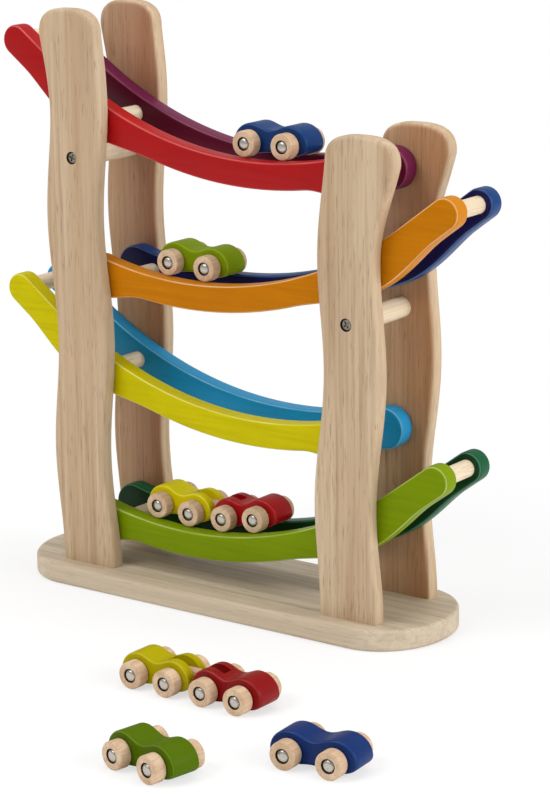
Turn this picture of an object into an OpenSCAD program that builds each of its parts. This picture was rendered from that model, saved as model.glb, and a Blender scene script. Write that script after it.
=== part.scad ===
// A click clack track toy: an oval base, two pairs of wavy posts, four pairs of curved rails
// that carry rolling cars from side to side, and six small cars.
// X runs along the toy, Y from front to back and Z up. Lengths are in millimetres.
// The origin is the middle of the underside of the base.

/* [Base] */
// Length of the oval base
base_l = 316; // [290:1:360]
// Width of the oval base
base_w = 97; // [86:1:120]
// Thickness of the base
base_h = 14; // [10:0.5:20]
// Length of each rounded end of the base
base_end_l = 42; // [30:1:46]
// Radius of the softened edges of the base
base_edge_r = 2.5; // [1:0.1:4]

/* [Posts] */
// Height of the tall left posts above the base
tall_post_h = 366; // [360:1:400]
// Height of the short right posts above the base
short_post_h = 303; // [295:1:330]
// Distance of the tall posts' feet from the middle of the toy
tall_post_x = 101.5; // [98:0.5:106]
// Distance of the short posts' feet from the middle of the toy
short_post_x = 105.5; // [102:0.5:110]
// Outward lean of the tall posts at their heads
tall_post_lean = 2.5; // [0:0.5:5]
// Outward lean of the short posts at their heads
short_post_lean = 6; // [0:0.5:8]
// Width of a post's wavy strip
post_w = 41.5; // [38:0.5:44]
// Thickness of a post
post_t = 11; // [9:0.5:14]
// Clear gap between the front and the back posts
post_gap = 51; // [47:0.5:54]
// Sideways sway of a post's two edges
post_sway = 2.9; // [0:0.1:5]
// Length of one wave along a post
post_wave_l = 155; // [130:1:180]
// Height above the base of the first full sway to the right
post_wave_z = 152; // [130:1:170]
// Extra width at a post's foot
foot_flare = 1.5; // [0:0.1:4]
// Height over which the foot's extra width fades away
foot_flare_h = 55; // [30:1:80]
// Extra width at the outer side of a tall post's head
tall_head_flare = 4.5; // [0:0.5:8]
// Extra width at the outer side of a short post's head
short_head_flare = 10; // [0:0.5:12]
// Height over which the head's extra width fades in
head_flare_h = 75; // [50:1:100]
// Height of the rounded top of a post
head_round_h = 17; // [12:1:24]
// Radius of the softened edges of the posts
post_edge_r = 3; // [1:0.1:4]

/* [Ramps] */
// Height of the lowest ramp's lowest point above the base
low_ramp_z = 32; // [30:0.5:36]
// Height from one ramp to the next
ramp_step = 82.3; // [78:0.1:86]
// Radius of the rolling curve
ramp_r = 267; // [255:1:280]
// Distance of a ramp's lowest point from the middle of the toy, towards its low end
ramp_low_x = 27; // [24:0.5:30]
// Shift of the top ramp to the right
ramp_1_shift = 4.5; // [0:0.5:8]
// Shift of the second ramp to the right
ramp_2_shift = 8; // [2:0.5:9]
// Shift of the third ramp to the right
ramp_3_shift = 1.5; // [0:0.5:4]
// Shift of the lowest ramp to the right
ramp_4_shift = 1.5; // [0:0.5:4]
// Angle of the curve from its lowest point to the straight upper end
ramp_high_angle = 36.8; // [35:0.1:38]
// Angle of the curve from its lowest point to the low end
ramp_low_angle = 15.5; // [15:0.1:18]
// Length of the straight upper end, without its rounding
ramp_tip_l = 29.5; // [20:0.5:36]
// Height of a rail along the rolling curve
rail_h = 17.3; // [15:0.1:19]
// Height of a rail where the upper post holds it
rail_belly_h = 25.5; // [22:0.1:28]
// Height of a rail at its low end
rail_low_h = 27; // [24:0.1:28]
// Height of a rail at its straight upper end
rail_tip_h = 20; // [18:0.1:22]
// Thickness of a rail from front to back
rail_t = 12.2; // [11:0.1:14]
// Radius of the softened edges of the rails
rail_edge_r = 2; // [1:0.1:3]
// Diameter of the round bars that tie the two rails of a ramp
tie_d = 11; // [8:0.5:12]
// Depth of a bar's socket in a rail
tie_socket = 6; // [3:0.5:8]
// Distance of the upper bar at the post from the curve's lowest point
tie_high_x = 116; // [112:0.5:118]
// Distance of the low bar from the curve's lowest point
tie_low_x = 57; // [50:0.5:62]

/* [Stretchers] */
// Diameter of the two bars between front and back posts
stretcher_d = 13.3; // [10:0.1:14]
// Height of the left bar above the base
left_stretcher_z = 271; // [266:0.5:272]
// Distance of the left bar from the middle of the toy
left_stretcher_x = 103.5; // [99:0.5:107]
// Height of the right bar above the base
right_stretcher_z = 187.5; // [182:0.5:190]
// Distance of the right bar from the middle of the toy
right_stretcher_x = 108.5; // [104:0.5:112]

/* [Screws] */
// Diameter of the round screw recess in a post
screw_recess_d = 8.2; // [7:0.1:9]
// Depth of the screw recess
screw_recess_depth = 3; // [2:0.1:4]
// Diameter of a screw head
screw_head_d = 7.2; // [6:0.1:7.8]
// Height of a screw head
screw_head_h = 2.2; // [1.5:0.1:2.8]
// Diameter of a screw shank
screw_d = 3.6; // [3:0.1:4.5]
// Length of a screw shank
screw_l = 28; // [22:1:34]
// Distance between the two screws in a post's foot
foot_screw_gap = 20; // [16:1:24]

/* [Cars] */
// Distance between the axles of a single car
wheelbase = 29; // [26:0.5:32]
// Distance between the axles of each half of the double car
half_wheelbase = 25.4; // [24:0.2:28]
// Length of the link between its two pivots
link_l = 26.8; // [25.5:0.1:29]
// Width of a car body
body_w = 19.4; // [17:0.1:21]
// Height of a car's humps above its axles
hump_h = 12; // [10:0.1:13]
// Depth of the saddle between the humps
saddle_depth = 3.5; // [1:0.1:5]
// Depth of the body below its axles
keel_h = 7.1; // [6:0.1:7.3]
// Rise of the body's underside between its axles
keel_rise = 1.5; // [0:0.1:2.5]
// Reach of a body's nose past its axle
nose_l = 13.4; // [12:0.1:14.5]
// Reach of a forked nose past its axle
fork_nose_l = 12.4; // [11:0.1:12.6]
// Radius of the softened edges of a car body
body_edge_r = 1.8; // [0.8:0.1:2.4]
// Diameter of a wheel
wheel_d = 16.6; // [15.6:0.1:17.6]
// Width of a wheel
wheel_w = 8; // [6.5:0.1:8.5]
// Radius of the softened rim of a wheel
wheel_edge_r = 0.9; // [0.4:0.1:1.4]
// Diameter of the recess in a wheel's face
hub_recess_d = 8.6; // [8:0.1:9.6]
// Depth of the recess in a wheel's face
hub_recess_depth = 1.6; // [1.2:0.1:2.2]
// Diameter of an axle rod
axle_d = 3.5; // [3:0.1:4]
// Diameter of the metal cap on an axle's end
cap_d = 7; // [6:0.1:7.6]
// Height of the metal cap's rim
cap_rim_h = 0.6; // [0.4:0.1:1]
// Rise of the metal cap's dome above its rim
cap_dome_h = 0.9; // [0.5:0.1:1.2]
// Thickness of the link from front to back
link_t = 6.4; // [5:0.1:7.4]
// Height of the link
link_h = 13; // [11:0.1:14]

/* [Places of the cars] */
// Distance of the blue car along the top ramp, past the lowest point
blue_along = 2.5; // [-20:0.5:30]
// Distance of the green car along the second ramp, past the lowest point
green_along = 8.5; // [-20:0.5:30]
// Distance of the double car's link along the lowest ramp, past the lowest point
double_along = -9.5; // [-20:0.5:10]
// Middle of the blue car on the floor, along X
blue_floor_x = 211; // [205:1:230]
// Middle of the blue car on the floor, along Y
blue_floor_y = -212; // [-230:1:-200]
// Heading of the blue car on the floor, in degrees
blue_floor_turn = 4; // [-8:1:12]
// Middle of the green car on the floor, along X
green_floor_x = 138; // [125:1:150]
// Middle of the green car on the floor, along Y
green_floor_y = -268; // [-290:1:-255]
// Heading of the green car on the floor, in degrees
green_floor_turn = -11; // [-20:1:0]
// Middle of the double car on the floor, along X
double_floor_x = 88.5; // [75:1:95]
// Middle of the double car on the floor, along Y
double_floor_y = -161; // [-175:1:-140]
// Heading of the double car on the floor, in degrees
double_floor_turn = -1; // [-6:1:6]

/* [Hidden] */

$fn = 64;

// Steps that round a softened edge
edge_steps = 2;
// Overrun of cuts past the face that they open
over = 1;
// Clearance of a wheel on its axle, and of the link on its pivots, at the radius
run_gap = 0.05;
// Clearance between a wheel's rim and the rail or the body
wheel_gap = 0.3;
// Steps along each of a rail's edges and around each end of the base
curve_steps = 24;
// Steps around a quarter of a car's nose, a post's head and a cap, and around a rail's end
end_steps = 7;

FRONT = -1;
BACK = 1;

post_y = (post_gap + post_t) / 2;
rail_y = (post_gap - rail_t) / 2;
rail_inner_y = post_gap / 2 - rail_t;
wheel_r = wheel_d / 2;
axle_r = axle_d / 2;
wheel_in_y = body_w / 2 + wheel_gap;
wheel_out_y = wheel_in_y + wheel_w;
// Distance from the centre of a ramp's curve to the axles of a car on it
axle_track_r = ramp_r - wheel_r - wheel_gap;
slot_w = link_t + 2 * wheel_gap;
link_end_r = link_h / 2;

red_paint = "#b3242a";
purple_paint = "#6a1f3f";
orange_paint = "#d98320";
navy_paint = "#20306b";
yellow_paint = "#e3d31c";
light_blue_paint = "#2f8fc4";
lime_paint = "#93b31c";
dark_green_paint = "#1d6b3c";
blue_paint = "#1f4a94";
wood = "#d9bd93";
nickel = "#c9c9c4";

// Eased step from 0 to 1
function eased(x) = let (t = min(max(x, 0), 1)) t * t * (3 - 2 * t);
// Signed power, for the corners of a rounded head
function spow(x, p) = sign(x) * pow(abs(x), p);

// Rings of a plate with softened edges: how far each ring is drawn in, and where it lies across the plate
function ring_insets(edge_r) = [
    for (k = [0 : edge_steps]) edge_r * (1 - sin(90 * k / edge_steps)),
    for (k = [edge_steps : -1 : 0]) edge_r * (1 - sin(90 * k / edge_steps))
];
function ring_places(width, edge_r) = [
    for (k = [0 : edge_steps]) edge_r * (1 - cos(90 * k / edge_steps)) - width / 2,
    for (k = [edge_steps : -1 : 0]) width / 2 - edge_r * (1 - cos(90 * k / edge_steps))
];

// Flat side of a plate as a ladder of quads, where point i of its outline of n lies opposite point sum - i
function ladder(n, sum) = [
    for (i = [ceil((sum - n) / 2) : floor(sum / 2) - 1])
        let (quad = [for (j = [i, i + 1, sum - i - 1, sum - i]) (j + n) % n])
        [for (k = [0 : 3]) if (quad[k] != quad[(k + 3) % 4]) quad[k]]
];
function backwards(list) = [for (i = [len(list) - 1 : -1 : 0]) list[i]];

// A plate with softened edges. outline(inset) gives its outline in X and Z, drawn in by inset,
// anticlockwise as seen from the front, and its width runs along Y. Points i and sum - i of the
// outline lie opposite each other.
module soft_plate(outline, sum, width, edge_r) {
    rings = [for (inset = ring_insets(edge_r)) outline(inset)];
    places = ring_places(width, edge_r);
    n = len(rings[0]);
    last = len(rings) - 1;
    polyhedron(
        points = [for (k = [0 : last]) for (p = rings[k]) [p[0], places[k], p[1]]],
        faces = [
            for (quad = ladder(n, sum)) backwards(quad),
            for (k = [0 : last - 1]) for (i = [0 : n - 1])
                [k * n + i, k * n + (i + 1) % n, (k + 1) * n + (i + 1) % n, (k + 1) * n + i],
            for (quad = ladder(n, sum)) [for (i = quad) last * n + i]
        ]
    );
}

// A round bar or bore along Y, from y0 to y1
module bar_y(d, y0, y1) {
    translate([0, y0, 0]) rotate([-90, 0, 0]) cylinder(d = d, h = y1 - y0);
}

// Base

// Oval outline: straight long sides and two drawn-out round ends
function base_outline(inset) = [
    for (k = [0 : curve_steps]) let (a = 90 - 180 * k / curve_steps)
        [-(base_l / 2 - base_end_l) - (base_end_l - inset) * cos(a), (base_w / 2 - inset) * sin(a)],
    for (k = [0 : curve_steps]) let (a = -90 + 180 * k / curve_steps)
        [base_l / 2 - base_end_l + (base_end_l - inset) * cos(a), (base_w / 2 - inset) * sin(a)]
];

// Places of the two screws in each post's foot
function foot_screw_x(post_x) = [
    post_x + post_foot_shift() - foot_screw_gap / 2,
    post_x + post_foot_shift() + foot_screw_gap / 2
];
function post_foot_shift() = sway(0);

module at_foot_screws() {
    for (side = [FRONT, BACK]) for (post_x = [-tall_post_x, short_post_x]) for (x = foot_screw_x(post_x))
        translate([x, side * post_y, 0]) children();
}

module base() {
    color(wood) difference() {
        translate([0, 0, base_h / 2]) rotate([90, 0, 0])
            soft_plate(function(inset) base_outline(inset), 2 * curve_steps + 1, base_h, base_edge_r);
        at_foot_screws() {
            translate([0, 0, -over]) cylinder(d = screw_recess_d, h = over + screw_recess_depth);
            translate([0, 0, -over]) cylinder(d = screw_d, h = base_h + 2 * over);
        }
    }
}

// Posts

function sway(z) = post_sway * cos(360 * (z - post_wave_z) / post_wave_l);
function half_strip(z) = (post_w + foot_flare * (1 - eased(z / foot_flare_h))) / 2;
function head_share(z, h) = eased((z - h + head_flare_h) / head_flare_h);

// Left and right edge at height z of a post of height h, from its foot's middle. out is 1 for a post
// that leans and widens to the right and -1 for one that does so to the left.
function post_middle(z, h, out, lean) = sway(z) + out * lean * z / h;
function post_left(z, h, out, lean, flare) =
    post_middle(z, h, out, lean) - half_strip(z) - (out < 0 ? flare * head_share(z, h) : 0);
function post_right(z, h, out, lean, flare) =
    post_middle(z, h, out, lean) + half_strip(z) + (out > 0 ? flare * head_share(z, h) : 0);

// Roundness of a post's head: 2 is an ellipse and more is squarer
head_power_share = 2.7;
post_steps = 20;

// Wavy outline of a post
function post_outline(inset, h, out, lean, flare) =
    let (
        neck = h - head_round_h,
        left = post_left(neck, h, out, lean, flare),
        right = post_right(neck, h, out, lean, flare),
        half = (right - left) / 2 - inset,
        rise = head_round_h - inset
    ) [
        for (k = [0 : post_steps - 1]) let (z = neck * k / post_steps)
            [post_right(z, h, out, lean, flare) - inset, z],
        for (k = [0 : 2 * end_steps]) let (a = 180 * k / (2 * end_steps))
            [(left + right) / 2 + half * spow(cos(a), 2 / head_power_share),
             neck + rise * spow(sin(a), 2 / head_power_share)],
        for (k = [post_steps - 1 : -1 : 0]) let (z = neck * k / post_steps)
            [post_left(z, h, out, lean, flare) + inset, z]
    ];

// A post with the recess and hole of its stretcher screw, and the holes of its foot screws
module post(side, x, h, lean, flare, screw_x, screw_z) {
    color(wood) difference() {
        translate([x, side * post_y, base_h])
            soft_plate(function(inset) post_outline(inset, h, sign(x), lean, flare),
                2 * post_steps + 2 * end_steps, post_t, post_edge_r);
        translate([screw_x, 0, base_h + screw_z]) mirror([0, side == FRONT ? 1 : 0, 0]) {
            bar_y(screw_d, post_gap / 2 - over, post_gap / 2 + post_t + over);
            bar_y(screw_recess_d, post_gap / 2 + post_t - screw_recess_depth, post_gap / 2 + post_t + over);
        }
        for (hole_x = foot_screw_x(x)) translate([hole_x, side * post_y, base_h - over])
            cylinder(d = screw_d, h = over + foot_screw_reach);
    }
}

module tall_post(side) {
    post(side, -tall_post_x, tall_post_h, tall_post_lean, tall_head_flare,
        -left_stretcher_x, left_stretcher_z);
}
module short_post(side) {
    post(side, short_post_x, short_post_h, short_post_lean, short_head_flare,
        right_stretcher_x, right_stretcher_z);
}

// Reach of a foot screw into its post
foot_screw_reach = screw_l - (base_h - screw_recess_depth);

// Ramps

function ramp_side(n) = n % 2 == 1 ? 1 : -1;
function ramp_z(n) = base_h + low_ramp_z + (4 - n) * ramp_step;
ramp_shifts = [ramp_1_shift, ramp_2_shift, ramp_3_shift, ramp_4_shift];
function ramp_x(n) = ramp_side(n) * ramp_low_x + ramp_shifts[n - 1];

// Path of a rail's rolling edge, with its high end at the left, from the lowest point of the curve.
// s is the length along it, negative uphill. The straight upper end goes on from the curve.
arc_unit = PI / 180;
rail_high_s = -(ramp_r * ramp_high_angle * arc_unit + ramp_tip_l);
rail_low_s = ramp_r * ramp_low_angle * arc_unit;
function rail_angle(s) = max(s / ramp_r / arc_unit, -ramp_high_angle);
function rail_straight(s) = max(-ramp_r * ramp_high_angle * arc_unit - s, 0);
function rail_point(s, depth) =
    let (a = rail_angle(s), r = ramp_r + depth, u = rail_straight(s))
    [r * sin(a) - u * cos(a), ramp_r - r * cos(a) - u * sin(a)];

// Where a rail thickens: towards its low end, and from the thin part over the belly at the post to the tip
low_swell_s = 36;
belly_start_s = -75;
belly_full_s = -138;
belly_end_s = -186;
function rail_height(s) =
    s > low_swell_s
        ? rail_h + (rail_low_h - rail_h) * eased((s - low_swell_s) / (rail_low_s - low_swell_s)) :
    s > belly_full_s
        ? rail_h + (rail_belly_h - rail_h) * eased((belly_start_s - s) / (belly_start_s - belly_full_s))
        : rail_tip_h + (rail_belly_h - rail_tip_h) * eased((s - belly_end_s) / (belly_full_s - belly_end_s));

// Round end about the middle of the rail at s, turning from one edge to the other
function rail_end(s, inset, turn) = [
    for (k = [1 : end_steps]) let (
        a = 180 * k / (end_steps + 1),
        half = rail_height(s) / 2,
        edge = rail_point(s, half + (half - inset) * turn * cos(a)),
        along = (half - inset) * sin(a) * turn
    ) [edge[0] + along * cos(rail_angle(s)), edge[1] + along * sin(rail_angle(s))]
];

function rail_outline(inset) = [
    for (k = [0 : curve_steps])
        let (s = rail_high_s + (rail_low_s - rail_high_s) * k / curve_steps)
        rail_point(s, rail_height(s) - inset),
    each rail_end(rail_low_s, inset, 1),
    for (k = [curve_steps : -1 : 0])
        let (s = rail_high_s + (rail_low_s - rail_high_s) * k / curve_steps)
        rail_point(s, inset),
    each rail_end(rail_high_s, inset, -1)
];

// Places something in the frame of ramp n: its high end at the left and its lowest point at the origin
module on_ramp(n) {
    translate([ramp_x(n), 0, ramp_z(n)]) mirror([ramp_side(n) == 1 ? 0 : 1, 0, 0]) children();
}

// Length along the rolling edge whose point lies x to the side of the lowest point
function s_at(x) = ramp_r * asin(x / ramp_r) * arc_unit;
// Middles of the three bars that tie a ramp's rails
tie_places = [for (s = [rail_high_s, s_at(-tie_high_x), s_at(tie_low_x)]) rail_point(s, rail_height(s) / 2)];

// A front rail with the sockets of its bars, or the same rail mirrored to the back
module rail(n, side, paint) {
    color(paint) on_ramp(n) mirror([0, side == BACK ? 1 : 0, 0]) difference() {
        translate([0, FRONT * rail_y, 0])
            soft_plate(function(inset) rail_outline(inset),
                2 * curve_steps + end_steps + 1, rail_t, rail_edge_r);
        for (place = tie_places) translate([place[0], 0, place[1]])
            bar_y(tie_d, -rail_inner_y - tie_socket, rail_inner_y + tie_socket);
    }
}

// The three round bars of a ramp
module ties(n) {
    color(wood) on_ramp(n) for (place = tie_places) translate([place[0], 0, place[1]])
        bar_y(tie_d, -rail_inner_y - tie_socket, rail_inner_y + tie_socket);
}

// Stretchers and screws

// A bar between front and back posts, with a screw hole in each end
module stretcher(x, z) {
    color(wood) translate([x, 0, base_h + z]) difference() {
        bar_y(stretcher_d, -post_gap / 2, post_gap / 2);
        for (side = [0, 1]) mirror([0, side, 0])
            bar_y(screw_d, post_gap / 2 - stretcher_screw_reach, post_gap / 2 + over);
    }
}

// Reach of a stretcher screw into its bar
stretcher_screw_reach = screw_l - (post_t - screw_recess_depth);

// A screw along Z, with the underside of its head at z = 0, its point up and a cross in its head
cross_l = screw_head_d * 2 / 3;
cross_w = screw_head_d / 7;
cross_depth = screw_head_h / 2;
head_corner_r = screw_head_h / 3;
module screw() {
    color(nickel) difference() {
        union() {
            rotate_extrude() polygon([
                [0, -screw_head_h],
                for (k = [0 : end_steps]) let (a = 90 * k / end_steps)
                    [screw_head_d / 2 - head_corner_r * (1 - sin(a)),
                     head_corner_r * (1 - cos(a)) - screw_head_h],
                [screw_head_d / 2, 0],
                [0, 0]
            ]);
            cylinder(d = screw_d, h = screw_l);
        }
        for (turn = [0, 90]) rotate([0, 0, turn])
            translate([-cross_l / 2, -cross_w / 2, -screw_head_h - over])
            cube([cross_l, cross_w, over + cross_depth]);
    }
}

module stretcher_screws() {
    for (place = [[-left_stretcher_x, left_stretcher_z], [right_stretcher_x, right_stretcher_z]])
        for (side = [FRONT, BACK])
            translate([place[0], side * (post_gap / 2 + post_t - screw_recess_depth), base_h + place[1]])
            rotate([side * 90, 0, 0]) screw();
}

module foot_screws() {
    at_foot_screws() translate([0, 0, screw_recess_depth]) screw();
}

// Cars, each with its rear axle at x = -base / 2 and its front axle at x = base / 2, on z = 0

module bore_axles(base) {
    for (x = [-base / 2, base / 2]) translate([x, 0, 0])
        bar_y(axle_d, -body_w / 2 - over, body_w / 2 + over);
}

// Side view of a car: two humps over the axles, a saddle between them and a hollow underside
function body_outline(inset, base, front_nose) = [
    for (k = [0 : end_steps - 1]) let (x = base * k / end_steps)
        [x - base / 2, keel_rise * (1 - cos(360 * k / end_steps)) / 2 - (keel_h - inset)],
    for (k = [0 : 2 * end_steps]) let (a = 180 * k / (2 * end_steps) - 90)
        [base / 2 + (front_nose - inset) * cos(a), (a < 0 ? keel_h - inset : hump_h - inset) * sin(a)],
    for (k = [1 : end_steps - 1]) let (x = base * k / end_steps)
        [base / 2 - x, hump_h - inset - saddle_depth * (1 - cos(360 * k / end_steps)) / 2],
    for (k = [0 : 2 * end_steps - 1]) let (a = 180 * k / (2 * end_steps) + 90)
        [-base / 2 + (nose_l - inset) * cos(a), (a > 180 ? keel_h - inset : hump_h - inset) * sin(a)]
];

// Body of a single car
module car_body(base, paint) {
    color(paint) difference() {
        soft_plate(function(inset) body_outline(inset, base, nose_l), 4 * end_steps, body_w, body_edge_r);
        bore_axles(base);
    }
}

// Body of half a double car, whose fork for the link opens at the front, towards +X
fork_depth = fork_nose_l + link_end_r + over;
module forked_body(paint) {
    color(paint) difference() {
        soft_plate(function(inset) body_outline(inset, half_wheelbase, fork_nose_l),
            4 * end_steps, body_w, body_edge_r);
        bore_axles(half_wheelbase);
        translate([half_wheelbase / 2 + fork_nose_l - fork_depth, -slot_w / 2, -keel_h - over])
            cube([fork_depth + over, slot_w, keel_h + hump_h + 2 * over]);
    }
}

// A wheel about Z, from its inner face at z = 0 to its outer face with the hub recess
module wheel() {
    bore_r = axle_r + run_gap;
    color(wood) rotate_extrude() polygon([
        [bore_r, 0],
        [wheel_r - wheel_edge_r, 0],
        for (k = [1 : 3]) let (a = 90 * k / 3)
            [wheel_r - wheel_edge_r * (1 - sin(a)), wheel_edge_r * (1 - cos(a))],
        for (k = [3 : -1 : 0]) let (a = 90 * k / 3)
            [wheel_r - wheel_edge_r * (1 - sin(a)), wheel_w - wheel_edge_r * (1 - cos(a))],
        [hub_recess_d / 2, wheel_w],
        [hub_recess_d / 2, wheel_w - hub_recess_depth],
        [bore_r, wheel_w - hub_recess_depth]
    ]);
}

// The two wheels of one axle at x
module wheel_pair(x) {
    translate([x, 0, 0]) for (side = [0, 1]) mirror([0, side, 0])
        translate([0, wheel_in_y, 0]) rotate([-90, 0, 0]) wheel();
}

// The two rods of a car, each with a domed cap at both ends
cap_seat_y = wheel_out_y - hub_recess_depth + wheel_gap;
module axles(base) {
    color(nickel) for (x = [-base / 2, base / 2]) translate([x, 0, 0]) rotate([90, 0, 0])
        rotate_extrude() polygon([
            [0, -cap_seat_y - cap_rim_h - cap_dome_h],
            for (k = [1 : end_steps]) let (a = 90 * k / end_steps)
                [cap_d / 2 * sin(a), -cap_seat_y - cap_rim_h - cap_dome_h * cos(a)],
            [cap_d / 2, -cap_seat_y],
            [axle_r, -cap_seat_y],
            [axle_r, cap_seat_y],
            [cap_d / 2, cap_seat_y],
            for (k = [end_steps : -1 : 1]) let (a = 90 * k / end_steps)
                [cap_d / 2 * sin(a), cap_seat_y + cap_rim_h + cap_dome_h * cos(a)],
            [0, cap_seat_y + cap_rim_h + cap_dome_h]
        ]);
}

// The link between the two halves of the double car, with its pivots at x = -link_l / 2 and link_l / 2
module link() {
    color(wood) difference() {
        union() {
            for (x = [-link_l / 2, link_l / 2]) translate([x, 0, 0]) bar_y(link_h, -link_t / 2, link_t / 2);
            translate([-link_l / 2, -link_t / 2, -link_end_r]) cube([link_l, link_t, link_h]);
        }
        for (x = [-link_l / 2, link_l / 2]) translate([x, 0, 0])
            bar_y(axle_d + 2 * run_gap, -link_t / 2 - over, link_t / 2 + over);
    }
}

// Angle that a chord between two axles spans on a ramp's curve
function chord_angle(l) = 2 * asin(l / 2 / axle_track_r);

// Places a chord of length l, such as a car, on ramp n. along is the distance of its middle past the
// lowest point, towards the low end, and beyond is an angle added to that.
module on_curve(n, along, l, beyond = 0) {
    towards = ramp_side(n) * (along / axle_track_r / arc_unit) + beyond;
    translate([ramp_x(n), 0, ramp_z(n) + ramp_r])
        rotate([0, -towards, 0])
        translate([0, 0, -axle_track_r * cos(chord_angle(l) / 2)]) children();
}

half_turn = (chord_angle(half_wheelbase) + chord_angle(link_l)) / 2;
module blue_track() {
    on_curve(1, blue_along, wheelbase) children();
}
module green_track() {
    on_curve(2, green_along, wheelbase) children();
}
module yellow_track() {
    on_curve(4, double_along, half_wheelbase, -half_turn) children();
}
module red_track() {
    on_curve(4, double_along, half_wheelbase, half_turn) mirror([1, 0, 0]) children();
}
module link_track() {
    on_curve(4, double_along, link_l) children();
}

// Places a car on the floor
module on_floor(x, y, turn) {
    translate([x, y, wheel_r]) rotate([0, 0, turn]) children();
}
half_shift = (half_wheelbase + link_l) / 2;
module blue_floor() {
    on_floor(blue_floor_x, blue_floor_y, blue_floor_turn) children();
}
module green_floor() {
    on_floor(green_floor_x, green_floor_y, green_floor_turn) children();
}
module double_floor() {
    on_floor(double_floor_x, double_floor_y, double_floor_turn) children();
}
module yellow_floor() {
    double_floor() translate([-half_shift, 0, 0]) children();
}
module red_floor() {
    double_floor() translate([half_shift, 0, 0]) mirror([1, 0, 0]) children();
}

module rear_wheels(base) {
    wheel_pair(-base / 2);
}
module front_wheels(base) {
    wheel_pair(base / 2);
}

base();
tall_post(FRONT);  // tall_front_post
tall_post(BACK);  // tall_back_post
short_post(FRONT);  // short_front_post
short_post(BACK);  // short_back_post
rail(1, FRONT, red_paint);  // red_rail
rail(1, BACK, purple_paint);  // purple_rail
rail(2, FRONT, orange_paint);  // orange_rail
rail(2, BACK, navy_paint);  // navy_rail
rail(3, FRONT, yellow_paint);  // yellow_rail
rail(3, BACK, light_blue_paint);  // light_blue_rail
rail(4, FRONT, lime_paint);  // lime_rail
rail(4, BACK, dark_green_paint);  // dark_green_rail
ties(1);  // ramp_1_ties
ties(2);  // ramp_2_ties
ties(3);  // ramp_3_ties
ties(4);  // ramp_4_ties
stretcher(-left_stretcher_x, left_stretcher_z);  // left_stretcher
stretcher(right_stretcher_x, right_stretcher_z);  // right_stretcher
stretcher_screws();
foot_screws();
blue_track() car_body(wheelbase, blue_paint);  // blue_track_body
blue_track() axles(wheelbase);  // blue_track_axles
blue_track() rear_wheels(wheelbase);  // blue_track_rear_wheels
blue_track() front_wheels(wheelbase);  // blue_track_front_wheels
green_track() car_body(wheelbase, lime_paint);  // green_track_body
green_track() axles(wheelbase);  // green_track_axles
green_track() rear_wheels(wheelbase);  // green_track_rear_wheels
green_track() front_wheels(wheelbase);  // green_track_front_wheels
yellow_track() forked_body(yellow_paint);  // yellow_track_body
yellow_track() axles(half_wheelbase);  // yellow_track_axles
yellow_track() rear_wheels(half_wheelbase);  // yellow_track_rear_wheels
yellow_track() front_wheels(half_wheelbase);  // yellow_track_front_wheels
red_track() forked_body(red_paint);  // red_track_body
red_track() axles(half_wheelbase);  // red_track_axles
red_track() rear_wheels(half_wheelbase);  // red_track_rear_wheels
red_track() front_wheels(half_wheelbase);  // red_track_front_wheels
link_track() link();  // track_link
blue_floor() car_body(wheelbase, blue_paint);  // blue_floor_body
blue_floor() axles(wheelbase);  // blue_floor_axles
blue_floor() rear_wheels(wheelbase);  // blue_floor_rear_wheels
blue_floor() front_wheels(wheelbase);  // blue_floor_front_wheels
green_floor() car_body(wheelbase, lime_paint);  // green_floor_body
green_floor() axles(wheelbase);  // green_floor_axles
green_floor() rear_wheels(wheelbase);  // green_floor_rear_wheels
green_floor() front_wheels(wheelbase);  // green_floor_front_wheels
yellow_floor() forked_body(yellow_paint);  // yellow_floor_body
yellow_floor() axles(half_wheelbase);  // yellow_floor_axles
yellow_floor() rear_wheels(half_wheelbase);  // yellow_floor_rear_wheels
yellow_floor() front_wheels(half_wheelbase);  // yellow_floor_front_wheels
red_floor() forked_body(red_paint);  // red_floor_body
red_floor() axles(half_wheelbase);  // red_floor_axles
red_floor() rear_wheels(half_wheelbase);  // red_floor_rear_wheels
red_floor() front_wheels(half_wheelbase);  // red_floor_front_wheels
double_floor() link();  // floor_link
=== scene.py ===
"""The looks of the click clack track toy: turned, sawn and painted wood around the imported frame."""
from math import cos, pi, radians, sin

import bmesh
import bpy
from mathutils import Euler, Matrix, Vector


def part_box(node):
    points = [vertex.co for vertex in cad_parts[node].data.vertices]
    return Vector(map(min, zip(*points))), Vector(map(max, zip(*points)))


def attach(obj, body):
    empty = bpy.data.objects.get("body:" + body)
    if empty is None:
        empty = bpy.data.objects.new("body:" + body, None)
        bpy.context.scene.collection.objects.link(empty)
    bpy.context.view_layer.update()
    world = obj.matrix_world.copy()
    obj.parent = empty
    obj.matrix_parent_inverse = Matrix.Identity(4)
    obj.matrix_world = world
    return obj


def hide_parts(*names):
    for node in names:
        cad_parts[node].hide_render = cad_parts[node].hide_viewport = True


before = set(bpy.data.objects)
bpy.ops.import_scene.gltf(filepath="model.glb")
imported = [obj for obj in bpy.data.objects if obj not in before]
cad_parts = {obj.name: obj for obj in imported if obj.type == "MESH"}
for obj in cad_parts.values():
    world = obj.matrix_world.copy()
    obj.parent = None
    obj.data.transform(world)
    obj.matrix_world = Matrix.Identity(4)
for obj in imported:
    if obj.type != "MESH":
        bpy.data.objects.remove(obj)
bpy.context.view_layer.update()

# Sizes in metres, as the construction has them
MM = 0.001
BASE_L, BASE_W, BASE_H, BASE_END_L, BASE_EDGE_R = 316 * MM, 97 * MM, 14 * MM, 42 * MM, 2.5 * MM
POST_W, POST_T, POST_GAP, POST_EDGE_R = 41.5 * MM, 11 * MM, 51 * MM, 3 * MM
POST_SWAY, POST_WAVE_L, POST_WAVE_Z = 2.9 * MM, 155 * MM, 152 * MM
FOOT_FLARE, FOOT_FLARE_H = 1.5 * MM, 55 * MM
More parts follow.
